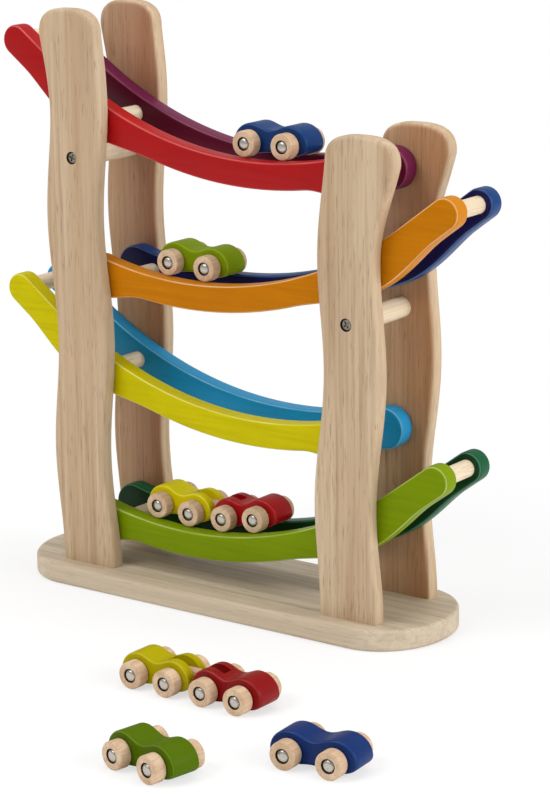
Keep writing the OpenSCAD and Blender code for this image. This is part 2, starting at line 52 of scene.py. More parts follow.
HEAD_FLARE_H, HEAD_ROUND_H, HEAD_POWER = 75 * MM, 17 * MM, 2.7
TALL_POST_X, TALL_POST_H, TALL_LEAN, TALL_FLARE = -101.5 * MM, 366 * MM, -2.5 * MM, 4.5 * MM
SHORT_POST_X, SHORT_POST_H, SHORT_LEAN, SHORT_FLARE = 105.5 * MM, 303 * MM, 6 * MM, 10 * MM
LOW_RAMP_Z, RAMP_STEP, RAMP_R, RAMP_LOW_X = 32 * MM, 82.3 * MM, 267 * MM, 27 * MM
RAMP_SHIFTS = (4.5 * MM, 8 * MM, 1.5 * MM, 1.5 * MM)
RAMP_HIGH_ANGLE, RAMP_LOW_ANGLE, RAMP_TIP_L = radians(36.8), radians(15.5), 29.5 * MM
RAIL_H, RAIL_LOW_H, RAIL_BELLY_H, RAIL_TIP_H = 17.3 * MM, 27 * MM, 25.5 * MM, 20 * MM
RAIL_T, RAIL_EDGE_R = 12.2 * MM, 2 * MM
LOW_SWELL_S, BELLY_START_S, BELLY_FULL_S, BELLY_END_S = 36 * MM, -75 * MM, -138 * MM, -186 * MM
SCREW_RECESS_D, SCREW_RECESS_DEPTH, FOOT_SCREW_GAP = 8.2 * MM, 3 * MM, 20 * MM
SCREW_HEAD_D, SCREW_HEAD_H, SCREW_D, SCREW_L = 7.2 * MM, 2.2 * MM, 3.6 * MM, 28 * MM
CROSS_L, CROSS_W, CROSS_DEPTH = 4.8 * MM, 1.03 * MM, 1.1 * MM
LEFT_STRETCHER_X, LEFT_STRETCHER_Z = -103.5 * MM, 271 * MM
RIGHT_STRETCHER_X, RIGHT_STRETCHER_Z = 108.5 * MM, 187.5 * MM
BODY_W, HUMP_H, SADDLE_DEPTH, KEEL_H, KEEL_RISE = 19.4 * MM, 12 * MM, 3.5 * MM, 7.1 * MM, 1.5 * MM
NOSE_L, FORK_NOSE_L, BODY_EDGE_R = 13.4 * MM, 12.4 * MM, 1.8 * MM
WHEEL_R, WHEEL_W, WHEEL_EDGE_R = 8.3 * MM, 8 * MM, 0.9 * MM
HUB_RECESS_R, HUB_RECESS_DEPTH, HUB_LIP = 4.3 * MM, 1.6 * MM, 0.25 * MM
AXLE_R, CAP_R, CAP_RIM_H, CAP_DOME_H, CAP_EDGE_R = 1.75 * MM, 3.5 * MM, 0.6 * MM, 0.9 * MM, 0.3 * MM
LINK_T, LINK_H, LINK_EDGE_R = 6.4 * MM, 13 * MM, 0.8 * MM
RUN_GAP, WHEEL_GAP = 0.05 * MM, 0.3 * MM

# A bit that cuts through a face starts this far outside it
BIT_REACH = 1 * MM

# Free room between the fork's root and the end of the link
FORK_ROOM = 1 * MM

# Where the curved part of a ramp ends above, and both ends of a rail, as lengths along the track
CURVE_S = -RAMP_R * RAMP_HIGH_ANGLE
RAIL_HIGH_S = CURVE_S - RAMP_TIP_L
RAIL_LOW_S = RAMP_R * RAMP_LOW_ANGLE

# Inner face of a wheel and of an axle's cap, from the middle of the car
WHEEL_IN_Y = BODY_W / 2 + WHEEL_GAP
CAP_SEAT_Y = WHEEL_IN_Y + WHEEL_W - HUB_RECESS_DEPTH + WHEEL_GAP

# Steps of a curve, of a round end, of a turned piece and of roundings
CURVE_STEPS, END_STEPS, TURN_STEPS = 96, 20, 64
EDGE_STEPS, SCREW_EDGE_STEPS, CAP_EDGE_STEPS, CAP_DOME_STEPS = 6, 8, 5, 14
SHARP_ANGLE = radians(38)

# Degrees by which screws and wheels are turned, so that no two side by side look the same
STRETCHER_SCREW_TURNS = (20, 55)
FOOT_SCREW_TURN = 25
SIDE_WHEEL_TURN, REAR_WHEEL_TURN = 40, 70

FRONT, BACK = -1, 1
X_AXIS, Y_AXIS, Z_AXIS = 0, 1, 2
RAMP_COLOURS = (("red", "purple"), ("orange", "navy"), ("yellow", "light_blue"),
                ("lime", "dark_green"))


# Curves shared by several pieces

def eased(x):
    """Smooth step from 0 at x = 0 to 1 at x = 1."""
    t = min(max(x, 0.0), 1.0)
    return t * t * (3 - 2 * t)


def grown(low, high, start, full, s):
    """Goes smoothly from low to high while s goes from start to full."""
    return low + (high - low) * eased((s - start) / (full - start))


def signed_power(x, p):
    return (1 if x >= 0 else -1) * abs(x) ** p


def spread(count, low, high):
    """count steps from low to high, with both ends."""
    return [low + (high - low) * k / count for k in range(count + 1)]


def oval(end_x, end_l, half_w, steps):
    """Outline with a half ellipse at either end, which begins at end_x and is end_l long."""
    right = [(end_x + end_l * cos(a), half_w * sin(a)) for a in spread(steps, -pi / 2, pi / 2)]
    return right + [(-x, -y) for x, y in right]


# Meshes

def add_object(name, data):
    obj = bpy.data.objects.new(name, data)
    bpy.context.scene.collection.objects.link(obj)
    return obj


def finish_mesh(name, verts, faces, shares=None):
    """An object, smooth but for its sharp corners. shares holds named values of its points."""
    mesh = bpy.data.meshes.new(name)
    mesh.from_pydata(verts, [], faces)
    for layer_name, values in (shares or {}).items():
        layer = mesh.attributes.new(layer_name, "FLOAT", "POINT")
        layer.data.foreach_set("value", values)
    bm = bmesh.new()
    bm.from_mesh(mesh)
    bmesh.ops.recalc_face_normals(bm, faces=bm.faces)
    bm.to_mesh(mesh)
    bm.free()
    for polygon in mesh.polygons:
        polygon.use_smooth = True
    mesh.set_sharp_from_angle(angle=SHARP_ANGLE)
    return add_object(name, mesh)


def soft_plate(name, outline, width, edge_r):
    """A plate whose outline(inset) lies in X and Z and whose width runs along Y, with round edges.

    Its edge_share is 1 in the middle of a rounding, its rim_share on the narrow face between two.
    """
    angles = spread(EDGE_STEPS, 0, pi / 2)
    rings = [(a, side * (width / 2 - edge_r * (1 - cos(a))))
             for side, order in ((-1, angles), (1, angles[::-1])) for a in order]
    verts, edge, rim = [], [], []
    for a, y in rings:
        points = outline(edge_r * (1 - sin(a)))
        verts += [(x, y, z) for x, z in points]
        edge += [sin(2 * a)] * len(points)
        rim += [sin(a)] * len(points)
    n = len(points)
    faces = [list(range(n))[::-1], [(len(rings) - 1) * n + i for i in range(n)]]
    for start in range(0, (len(rings) - 1) * n, n):
        for i in range(n):
            j = (i + 1) % n
            faces.append([start + i, start + j, start + n + j, start + n + i])
    return finish_mesh(name, verts, faces, {"edge_share": edge, "rim_share": rim})


def lathe(name, profile):
    """A solid turned about Y from a closed profile of (radius, y) points."""
    verts, rings = [], []
    for radius, y in profile:
        if radius == 0:
            rings.append([len(verts)])
            verts.append((0, y, 0))
        else:
            rings.append(list(range(len(verts), len(verts) + TURN_STEPS)))
            verts += [(radius * cos(a), y, radius * sin(a))
                      for a in spread(TURN_STEPS, 0, 2 * pi)[:-1]]
    faces = []
    for a, b in zip(rings, rings[1:] + rings[:1]):
        for i in range(TURN_STEPS):
            face = [a[i % len(a)], a[(i + 1) % len(a)], b[(i + 1) % len(b)], b[i % len(b)]]
            face = list(dict.fromkeys(face))
            if len(face) > 2:
                faces.append(face)
    return finish_mesh(name, verts, faces)


def placed(obj, matrix):
    """Moves the mesh itself, so that the object stays at the origin."""
    obj.data.transform(matrix)
    if matrix.determinant() < 0:
        obj.data.flip_normals()
    return obj


def painted(obj, *materials):
    for material in materials:
        obj.data.materials.append(material)
    return obj


def block(low, high, material):
    """A box from corner to corner, to cut with."""
    verts = [(x, y, z) for x in (low[0], high[0]) for y in (low[1], high[1])
             for z in (low[2], high[2])]
    faces = [(0, 1, 3, 2), (4, 6, 7, 5), (0, 4, 5, 1), (2, 3, 7, 6), (0, 2, 6, 4), (1, 5, 7, 3)]
    return painted(finish_mesh("bit", verts, faces), material)


def drill(radius, low_y, high_y):
    """A cylinder along Y, to cut with, which carries the dark hole wood: painted shade for the walls
    that it cuts.
    """
    profile = [(0, low_y), (radius, low_y), (radius, high_y), (0, high_y)]
    return painted(lathe("bit", profile), HOLE_SHADE_WOOD)


def cut(obj, cutter):
    """Cuts the cutter's shape out of obj and deletes the cutter. The cut takes its material."""
    modifier = obj.modifiers.new("cut", "BOOLEAN")
    modifier.operation = "DIFFERENCE"
    modifier.solver = "EXACT"
    modifier.material_mode = "TRANSFER"
    modifier.object = cutter
    bpy.context.view_layer.update()
    evaluated = obj.evaluated_get(bpy.context.evaluated_depsgraph_get())
    mesh = bpy.data.meshes.new_from_object(evaluated)
    obj.modifiers.clear()
    obj.data = mesh
    bpy.data.objects.remove(cutter)
    mesh.set_sharp_from_angle(angle=SHARP_ANGLE)


def joined(name, parts):
    """One object from several, which keep their own materials."""
    bm = bmesh.new()
    materials = []
    for part in parts:
        start = len(bm.faces)
        mesh = part.data.copy()
        mesh.transform(part.matrix_world)
        bm.from_mesh(mesh)
        bm.faces.ensure_lookup_table()
        for material in part.data.materials:
            if material not in materials:
                materials.append(material)
        places = [materials.index(material) for material in part.data.materials]
        for face in bm.faces[start:]:
            face.material_index = places[face.material_index]
    mesh = bpy.data.meshes.new(name)
    bm.to_mesh(mesh)
    bm.free()
    for material in materials:
        mesh.materials.append(material)
    for part in parts:
        bpy.data.objects.remove(part)
    mesh.set_sharp_from_angle(angle=SHARP_ANGLE)
    return add_object(name, mesh)


def ride_as(name, parts, body, node):
    """Joins the parts into one piece that stands for a node."""
    piece = joined(name, parts)
    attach(piece, body)
    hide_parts(node)


def dress(node, material):
    """A CAD node that keeps its own mesh, with a better material."""
    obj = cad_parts[node]
    obj.data.materials.clear()
    obj.data.materials.append(material)
    for polygon in obj.data.polygons:
        polygon.use_smooth = True
    obj.data.set_sharp_from_angle(angle=SHARP_ANGLE)


# Materials

BLACK, WHITE = (0.0, 0.0, 0.0, 1.0), (1.0, 1.0, 1.0, 1.0)
COAT_ROUGHNESS = 0.3

# Moves a wood's blush away from its bands, which are drawn from the same noise
BLUSH_SHIFT = 7

# How strongly the paints reflect. The yellow, orange and green ones do so less and stay purer.
PAINT_SHINE, VIVID_SHINE = 0.14, 0.04
COAT_PER_SHINE = 0.4

# Numbers of the sockets that a mix node has for its share and its colours
MIX_SHARE, MIX_A, MIX_B, MIX_RESULT = 0, 6, 7, 2


def srgb(text):
    """Linear colour from a hex one."""
    channels = [int(text[i:i + 2], 16) / 255 for i in (0, 2, 4)]
    return tuple(c / 12.92 if c <= 0.04045 else ((c + 0.055) / 1.055) ** 2.4
                 for c in channels) + (1.0,)


def between(a, b, share=0.5):
    """The colour that lies a share of the way from a to b."""
    return tuple(x + (y - x) * share for x, y in zip(a, b))


class Look:
    """A material with its main shader, and a short way to build what feeds it."""

    def __init__(self, name, roughness, metallic=0.0, coat=0.0, shine=0.5):
        self.material = bpy.data.materials.new(name)
        self.material.use_nodes = True
        self.tree = self.material.node_tree
        self.shader = self.filled(self.tree.nodes["Principled BSDF"], {
            "Roughness": roughness, "Metallic": metallic, "Specular IOR Level": shine,
            "Coat Weight": coat, "Coat Roughness": COAT_ROUGHNESS})
        self.place = self.added("TexCoord").outputs["Object"]

    def filled(self, node, inputs):
        """Gives each of these inputs a link to a socket, or a plain value."""
        for name, value in inputs.items():
            if isinstance(value, bpy.types.NodeSocket):
                self.tree.links.new(value, node.inputs[name])
            else:
                node.inputs[name].default_value = value
        return node

    def added(self, kind, inputs=None):
        return self.filled(self.tree.nodes.new("ShaderNode" + kind), inputs or {})

    def pattern(self, axis, across, along, detail, roughness=0.55, distortion=0.0, shift=0.0):
        """Noise with so many cells to a metre across an axis and along it, moved on by a shift."""
        scale = tuple(along if i == axis else across for i in range(3))
        mapping = self.added("Mapping", {
            "Vector": self.place, "Scale": scale, "Location": (shift, shift, shift)})
        return self.added("TexNoise", {
            "Vector": mapping.outputs["Vector"], "Scale": 1.0, "Detail": detail,
            "Roughness": roughness, "Distortion": distortion}).outputs["Fac"]

    def ramp(self, value, stops):
        """Colours along a value: stops are (position, colour)."""
        node = self.added("ValToRGB", {"Fac": value})
        elements = node.color_ramp.elements
        while len(elements) < len(stops):
            elements.new(0.5)
        for element, (position, colour) in zip(elements, stops):
            element.position = position
            element.color = colour
        return node.outputs["Color"]

    def mixed(self, share, a, b):
        """Colour a share of the way from a to b."""
        node = self.tree.nodes.new("ShaderNodeMix")
        node.data_type = "RGBA"
        return self.filled(node, {MIX_SHARE: share, MIX_A: a, MIX_B: b}).outputs[MIX_RESULT]

    def share(self, value, start, full, least=0.0, most=1.0):
        """Goes from least to most while the value goes from start to full."""
        return self.added("MapRange", {
            "Value": value, "From Min": start, "From Max": full,
            "To Min": least, "To Max": most}).outputs["Result"]

    def calculated(self, operation, a, b):
        node = self.added("Math", {0: a, 1: b})
        node.operation = operation
        return node.outputs["Value"]

    def coordinate(self, vector, letter):
        return self.added("SeparateXYZ", {"Vector": vector}).outputs[letter]

    def attribute(self, name):
        node = self.added("Attribute")
        node.attribute_name = name
        return node.outputs["Fac"]

    def surface(self, colour, roughness):
        self.filled(self.shader, {"Base Color": colour, "Roughness": roughness})

    def bump(self, height, strength, distance):
        node = self.added("Bump", {"Height": height, "Strength": strength, "Distance": distance})
        self.filled(self.shader, {"Normal": node.outputs["Normal"]})


def wood(name, axis, pale, tan, dark, shift=0.0, shade=None):
    """Oiled rubberwood with its grain along one axis: soft bands, fine fibres, short dark pores.

    shade is painted shade: a darker colour that the face towards -Y takes on from one X to another,
    as the back posts' inner faces lie in shade.
    """
    pale, tan, dark = srgb(pale), srgb(tan), srgb(dark)
    look = Look(name, roughness=0.5, shine=0.25)
    bands = look.pattern(axis, across=95, along=2.4, detail=3, distortion=0.6, shift=shift)
    blush = look.pattern(axis, across=26, along=3.5, detail=2, shift=shift + BLUSH_SHIFT)
    fibres = look.pattern(axis, across=420, along=9, detail=5, roughness=0.62, shift=shift)
    pores = look.pattern(axis, across=1050, along=62, detail=2, roughness=0.5, shift=shift)
    base = look.ramp(bands, [(0.36, tan), (0.5, between(tan, pale)), (0.64, pale)])
    blushed = look.mixed(look.share(blush, start=0.48, full=0.7, most=0.55),
                         base, between(tan, dark, 0.35))
    # Painted shade: faces towards -Y darken towards the shade colour from start_x to full_x, the
    # border wobbling with the bands.
    if shade:
        colour, start_x, full_x = shade
        wander = look.share(bands, start=0.3, full=0.7, least=-6 * MM, most=6 * MM)
        x = look.calculated("ADD", look.coordinate(look.place, "X"), wander)
        normal_y = look.coordinate(look.added("NewGeometry").outputs["Normal"], "Y")
        inner = look.calculated(
            "MULTIPLY", look.share(x, start=start_x, full=full_x, least=0.2, most=0.75),
            look.share(normal_y, start=-0.6, full=-0.95))
        blushed = look.mixed(inner, blushed, srgb(colour))
    fibred = look.mixed(look.share(fibres, start=0.46, full=0.76, most=0.5), blushed, dark)
    pored = look.mixed(look.share(pores, start=0.6, full=0.7, most=0.45),
                       fibred, between(dark, BLACK, 0.15))
    # Painted highlight: the narrow faces and the outer part of their roundings turn paler.
    rim = look.share(look.attribute("rim_share"), start=0.5, full=1.0, most=0.3)
    look.surface(look.mixed(rim, pored, pale),
                 look.share(fibres, start=0.3, full=0.8, least=0.44, most=0.6))
    look.bump(look.mixed(0.5, fibres, pores), strength=0.12, distance=0.4 * MM)
    return look.material


def paint(name, colour, rim_light_colour, line_colour, shine=PAINT_SHINE):
    """Satin stain and lacquer: faint grain, narrow faces made lighter as painted light, and a pale
    line along the edges, partly paint rubbed thin and partly painted highlight.
    """
    look = Look(name, roughness=0.36, coat=COAT_PER_SHINE * shine, shine=shine)
    base = srgb(colour)
    deep = between(base, BLACK, 0.2)
    grain = look.pattern(X_AXIS, across=420, along=16, detail=5)
    pores = look.pattern(Z_AXIS, across=1500, along=260, detail=2)
    cloud = look.pattern(X_AXIS, across=24, along=24, detail=3)
    toned = look.mixed(look.share(grain, start=0.42, full=0.75, most=0.75), base, deep)
    clouded = look.mixed(look.share(cloud, start=0.4, full=0.7, most=0.4), toned, deep)
    flecked = look.mixed(look.share(pores, start=0.6, full=0.75, most=0.4), clouded, deep)
    # Painted light: the narrow faces and the outer part of their roundings take the lighter rim
    # colour.
    rim = look.share(look.attribute("rim_share"), start=0.6, full=1.0, most=0.85)
    rimmed = look.mixed(rim, flecked, srgb(rim_light_colour))
    # A pale line in the middle of the edge roundings, partly paint rubbed thin and partly painted
    # highlight, its strength wandering along the edge.
    line = look.share(look.attribute("edge_share"), start=0.8, full=1.0)
    wear_and_highlight = look.share(cloud, start=0.35, full=0.6, least=0.35, most=0.8)
    look.surface(look.mixed(look.calculated("MULTIPLY", line, wear_and_highlight), rimmed, srgb(line_colour)),
                 look.share(cloud, start=0.3, full=0.7, least=0.32, most=0.44))
    look.bump(grain, strength=0.06, distance=0.3 * MM)
    return look.material


def metal(name, colour, roughness):
    """Plated metal with faint wear."""
    look = Look(name, roughness=roughness, metallic=1.0)
    wear = look.pattern(X_AXIS, across=900, along=900, detail=3)
    base = srgb(colour)
    dull = between(base, BLACK, 0.3)
    look.surface(look.mixed(look.share(wear, start=0.4, full=0.8, most=0.5), base, dull),
                 look.share(wear, start=0.3, full=0.8, least=roughness, most=roughness + 0.15))
    return look.material


FRONT_WOOD = wood("front_post_wood", Z_AXIS, "d0ba9c", "bb9f7e", "8a664a")
# The back posts' woods: nearly the front wood, with painted shade on their faces towards -Y.
BACK_WOODS = {
    "tall": wood("tall_back_wood", Z_AXIS, "d0b898", "bb9c7a", "80583e", shift=31,
                 shade=("9c6444", -122 * MM, -90 * MM)),
    "short": wood("short_back_wood", Z_AXIS, "d0b898", "bb9c7a", "80583e", shift=47,
                  shade=("b07c52", 88 * MM, 120 * MM)),
}
BASE_WOOD = wood("base_wood", X_AXIS, "d2c2aa", "bdac94", "8e765e", shift=12)
BAR_WOOD = wood("bar_wood", Y_AXIS, "efe0c8", "e0ccac", "bda280")
WHEEL_WOOD = wood("wheel_wood", Y_AXIS, "dcc1a2", "caaa8a", "a07a5a")
LINK_WOOD = wood("link_wood", X_AXIS, "d2b295", "bd9877", "98704f")
# Painted shade: a dark wood for the walls of recesses and bores and for the wheels' hub recesses.
HOLE_SHADE_WOOD = wood("hole_shade_wood", Y_AXIS, "4a3a2c", "33271d", "1d1611")
NICKEL = metal("nickel", "bfbab0", 0.22)
STEEL = metal("screw_steel", "8d877c", 0.35)
# Each paint: its colour, the lighter colour of its narrow faces (painted light) and the colour of its
# edge line (partly paint rubbed thin, partly painted highlight).
RAIL_PAINTS = {
    "red": paint("red_paint", "a60609", "a80b0c", "dc7068"),
    "purple": paint("purple_paint", "540824", "6c1c44", "9a5470"),
    "orange": paint("orange_paint", "c07404", "ca8020", "f0cc98", VIVID_SHINE),
    "navy": paint("navy_paint", "0c1046", "12407a", "5a86bc"),
    "yellow": paint("yellow_paint", "c6ba03", "c8bc0a", "ece688", VIVID_SHINE),
    "light_blue": paint("light_blue_paint", "1286ba", "2a94c6", "8cc6e2"),
    "lime": paint("lime_paint", "768e04", "7c940a", "c4d088", VIVID_SHINE),
    "dark_green": paint("dark_green_paint", "083616", "0e5a36", "4c8e6c"),
}
CAR_PAINTS = {
    "track": {
        "blue": paint("blue_track_paint", "083065", "0a366e", "2c5690"),
        "lime": paint("green_track_paint", "748a03", "7a9206", "98ac34", VIVID_SHINE),
        "yellow": paint("yellow_track_paint", "d0c003", "d4c608", "e8dc54", VIVID_SHINE),
        "red": paint("red_track_paint", "9c0408", "a4080c", "c8443e"),
    },
    # Painted shade: the floor cars are the same cars, with their paints made darker.
    "floor": {
        "blue": paint("blue_floor_shaded_paint", "052761", "072c68", "24487e"),
        "lime": paint("green_floor_shaded_paint", "4b6402", "506a04", "6e8628", VIVID_SHINE),
        "yellow": paint("yellow_floor_shaded_paint", "a89b02", "aca006", "c8bc40", VIVID_SHINE),
        "red": paint("red_floor_shaded_paint", "800306", "86060a", "a83a34"),
    },
}


# Base

def base_outline(inset):
    return oval(BASE_L / 2 - BASE_END_L, BASE_END_L - inset, BASE_W / 2 - inset, CURVE_STEPS // 2)


def foot_screw_places():
    """Middle of each foot screw, on the underside."""
    y = (POST_GAP + POST_T) / 2
    return [(x + sway(0) + hand * FOOT_SCREW_GAP / 2, side * y)
            for side in (FRONT, BACK) for x in (TALL_POST_X, SHORT_POST_X) for hand in (-1, 1)]


def make_base():
    base = soft_plate("oval_base", base_outline, BASE_H, BASE_EDGE_R)
    placed(base, Matrix.Translation((0, 0, BASE_H / 2)) @ Matrix.Rotation(pi / 2, 4, "X"))
    painted(base, BASE_WOOD)
    for x, y in foot_screw_places():
        bit = drill(SCREW_RECESS_D / 2, -BIT_REACH, SCREW_RECESS_DEPTH)
        cut(base, placed(bit, Matrix.Translation((x, y, 0)) @ Matrix.Rotation(pi / 2, 4, "X")))
    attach(base, "stand")
    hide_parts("base")


# Posts

def sway(z):
    """How far the middle of a post lies to the right at height z."""
    return POST_SWAY * cos(2 * pi * (z - POST_WAVE_Z) / POST_WAVE_L)


def post_edges(z, h, lean, flare):
    """Left and right edge of a post at height z. It widens on the side it leans to."""
    half = (POST_W + FOOT_FLARE * (1 - eased(z / FOOT_FLARE_H))) / 2
    middle = sway(z) + lean * z / h
    head = flare * eased((z - h + HEAD_FLARE_H) / HEAD_FLARE_H)
    return middle - half - (head if lean < 0 else 0), middle + half + (head if lean > 0 else 0)


def post_outline(h, lean, flare):
    """Outline of a post of height h, with a rounded head on its two wavy sides."""
    neck = h - HEAD_ROUND_H
    left, right = post_edges(neck, h, lean, flare)

    def outline(inset):
        sides = [post_edges(z, h, lean, flare) + (z,) for z in spread(CURVE_STEPS, 0, neck)[:-1]]
        half, rise = (right - left) / 2 - inset, HEAD_ROUND_H - inset
        head = [((left + right) / 2 + half * signed_power(cos(a), 2 / HEAD_POWER),
                 neck + rise * max(sin(a), 0) ** (2 / HEAD_POWER))
                for a in spread(2 * END_STEPS, 0, pi)]
        return ([(r - inset, z) for l, r, z in sides] + head
                + [(l + inset, z) for l, r, z in reversed(sides)])
    return outline


def make_post(node, side, x, outline, screw_x, screw_z):
    post = soft_plate(node + "_wood", outline, POST_T, POST_EDGE_R)
    placed(post, Matrix.Translation((x, side * (POST_GAP + POST_T) / 2, BASE_H)))
    painted(post, FRONT_WOOD if side == FRONT else BACK_WOODS[node.split("_")[0]])
    outer = POST_GAP / 2 + POST_T
    bit = drill(SCREW_RECESS_D / 2, outer - SCREW_RECESS_DEPTH, outer + BIT_REACH)
    cut(post, placed(bit, Matrix.Translation((screw_x, 0, BASE_H + screw_z))
                     @ Matrix.Scale(side, 4, (0, 1, 0))))
    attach(post, "stand")
    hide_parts(node)


def make_posts():
    tall = post_outline(TALL_POST_H, TALL_LEAN, TALL_FLARE)
    short = post_outline(SHORT_POST_H, SHORT_LEAN, SHORT_FLARE)
    for name, side in (("front", FRONT), ("back", BACK)):
        make_post(f"tall_{name}_post", side, TALL_POST_X, tall,
                  LEFT_STRETCHER_X, LEFT_STRETCHER_Z)
        make_post(f"short_{name}_post", side, SHORT_POST_X, short,
                  RIGHT_STRETCHER_X, RIGHT_STRETCHER_Z)


# Ramps, along the length s of their track, which is 0 at its lowest point and negative above

def rail_angle(s):
    return max(s / RAMP_R, -RAMP_HIGH_ANGLE)


def rail_point(s, depth):
    """Point at a depth below the track, from the track's lowest point."""
    a, r, tip_l = rail_angle(s), RAMP_R + depth, max(CURVE_S - s, 0)
    return r * sin(a) - tip_l * cos(a), RAMP_R - r * cos(a) - tip_l * sin(a)


def rail_height(s):
    """Tip, belly behind the post, slender middle and swollen low end."""
    if s > LOW_SWELL_S:
        return grown(RAIL_H, RAIL_LOW_H, LOW_SWELL_S, RAIL_LOW_S, s)
    if s > BELLY_FULL_S:
        return grown(RAIL_H, RAIL_BELLY_H, BELLY_START_S, BELLY_FULL_S, s)
    return grown(RAIL_TIP_H, RAIL_BELLY_H, BELLY_END_S, BELLY_FULL_S, s)


def rail_end(s, inset, turn):
    """Round end of a rail, from one edge to the other."""
    points = []
    half = rail_height(s) / 2
    for a in spread(END_STEPS, 0, pi)[1:-1]:
        x, z = rail_point(s, half + (half - inset) * turn * cos(a))
        along = (half - inset) * sin(a) * turn
        points.append((x + along * cos(rail_angle(s)), z + along * sin(rail_angle(s))))
    return points


def rail_outline(inset):
    stations = spread(CURVE_STEPS, RAIL_HIGH_S, RAIL_LOW_S)
    under = [rail_point(s, rail_height(s) - inset) for s in stations]
    track = [rail_point(s, inset) for s in reversed(stations)]
    return under + rail_end(RAIL_LOW_S, inset, 1) + track + rail_end(RAIL_HIGH_S, inset, -1)


def make_rail(colour, n, side):
    """One of the two rails of ramp n, counted from the top. Every other ramp is mirrored."""
    hand = 1 if n % 2 else -1
    rail = soft_plate(colour + "_rail_painted", rail_outline, RAIL_T, RAIL_EDGE_R)
    z = BASE_H + LOW_RAMP_Z + (len(RAMP_COLOURS) - n) * RAMP_STEP
    x = hand * RAMP_LOW_X + RAMP_SHIFTS[n - 1]
    placed(rail, Matrix.Translation((x, side * (POST_GAP - RAIL_T) / 2, z))
           @ Matrix.Scale(hand, 4, (1, 0, 0)))
    painted(rail, RAIL_PAINTS[colour])
    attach(rail, "stand")
    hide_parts(colour + "_rail")


def make_ramps():
    for n, (front, back) in enumerate(RAMP_COLOURS, 1):
        make_rail(front, n, FRONT)
        make_rail(back, n, BACK)
        dress(f"ramp_{n}_ties", BAR_WOOD)
    dress("left_stretcher", BAR_WOOD)
    dress("right_stretcher", BAR_WOOD)


# Screws

def make_screw(name):
    """A screw along Y with its head towards -Y and its underside at y = 0."""
    corner = SCREW_HEAD_H / 3
    rim = [(SCREW_HEAD_D / 2 - corner * (1 - sin(a)), corner * (1 - cos(a)) - SCREW_HEAD_H)
           for a in spread(SCREW_EDGE_STEPS, 0, pi / 2)]
    shank = [(SCREW_HEAD_D / 2, 0), (SCREW_D / 2, 0), (SCREW_D / 2, SCREW_L), (0, SCREW_L)]
    screw = painted(lathe(name, [(0, -SCREW_HEAD_H)] + rim + shank), STEEL)
    for length, width in ((CROSS_L, CROSS_W), (CROSS_W, CROSS_L)):
        cut(screw, block((-length / 2, -SCREW_HEAD_H - BIT_REACH, -width / 2),
                         (length / 2, CROSS_DEPTH - SCREW_HEAD_H, width / 2), STEEL))
    return screw


def make_screws():
    seat = POST_GAP / 2 + POST_T - SCREW_RECESS_DEPTH
    stretcher_places = ((LEFT_STRETCHER_X, BASE_H + LEFT_STRETCHER_Z),
                        (RIGHT_STRETCHER_X, BASE_H + RIGHT_STRETCHER_Z))
    parts = []
    for k, (x, z) in enumerate(stretcher_places):
        turn = Matrix.Rotation(radians(STRETCHER_SCREW_TURNS[k]), 4, "Y")
        for side in (FRONT, BACK):
            face = Matrix.Identity(4) if side == FRONT else Matrix.Rotation(pi, 4, "Z")
            parts.append(placed(make_screw(f"screw_{k}_{side}"),
                                Matrix.Translation((x, side * seat, z)) @ face @ turn))
    ride_as("stretcher_screw_set", parts, "stand", "stretcher_screws")
    parts = []
    for k, (x, y) in enumerate(foot_screw_places()):
        turn = Matrix.Rotation(radians(FOOT_SCREW_TURN * k), 4, "Y")
        parts.append(placed(make_screw(f"foot_screw_{k}"),
                            Matrix.Translation((x, y, SCREW_RECESS_DEPTH))
                            @ Matrix.Rotation(pi / 2, 4, "X") @ turn))
    ride_as("foot_screw_set", parts, "stand", "foot_screws")


# Cars, each about the middle of its two axles

def body_outline(base, front_nose):
    """Two humps with a saddle between them, over a keel that rises midway between the axles."""
    def wave(x):
        return (1 - cos(2 * pi * x / base)) / 2

    def nose(x, length, inset, angles):
        return [(x + (length - inset) * cos(a),
                 ((KEEL_H if sin(a) < 0 else HUMP_H) - inset) * sin(a)) for a in angles]

    def outline(inset):
        steps = spread(END_STEPS, 0, base)
        under = [(x - base / 2, KEEL_RISE * wave(x) - (KEEL_H - inset)) for x in steps[:-1]]
        front = nose(base / 2, front_nose, inset, spread(2 * END_STEPS, -pi / 2, pi / 2))
        top = [(base / 2 - x, HUMP_H - inset - SADDLE_DEPTH * wave(x)) for x in steps[1:-1]]
        rear = nose(-base / 2, NOSE_L, inset, spread(2 * END_STEPS, pi / 2, 3 * pi / 2)[:-1])
        return under + front + top + rear
    return outline


def make_wheel(name):
    """A turned wheel from its inner face at y = 0 to its outer one, whose hub recess is painted dark
    as painted shade.
    """
    inner, floor = AXLE_R + RUN_GAP, WHEEL_W - HUB_RECESS_DEPTH
    rim = [(WHEEL_R - WHEEL_EDGE_R * (1 - sin(a)), WHEEL_EDGE_R * (1 - cos(a)))
           for a in spread(EDGE_STEPS, 0, pi / 2)]
    outer_rim = [(r, WHEEL_W - y) for r, y in reversed(rim)]
    recess = [(HUB_RECESS_R + HUB_LIP, WHEEL_W), (HUB_RECESS_R, WHEEL_W - HUB_LIP),
              (HUB_RECESS_R, floor), (inner, floor)]
    wheel = lathe(name, [(inner, 0)] + rim + outer_rim + recess)
    painted(wheel, WHEEL_WOOD, HOLE_SHADE_WOOD)
    # Painted shade: the faces inside the hub recess take the dark hole wood.
    for polygon in wheel.data.polygons:
        corners = [wheel.data.vertices[v].co for v in polygon.vertices]
        if all(c.y > floor - HUB_LIP and Vector((c.x, c.z)).length < HUB_RECESS_R + HUB_LIP / 2
               for c in corners):
            polygon.material_index = 1
    return wheel


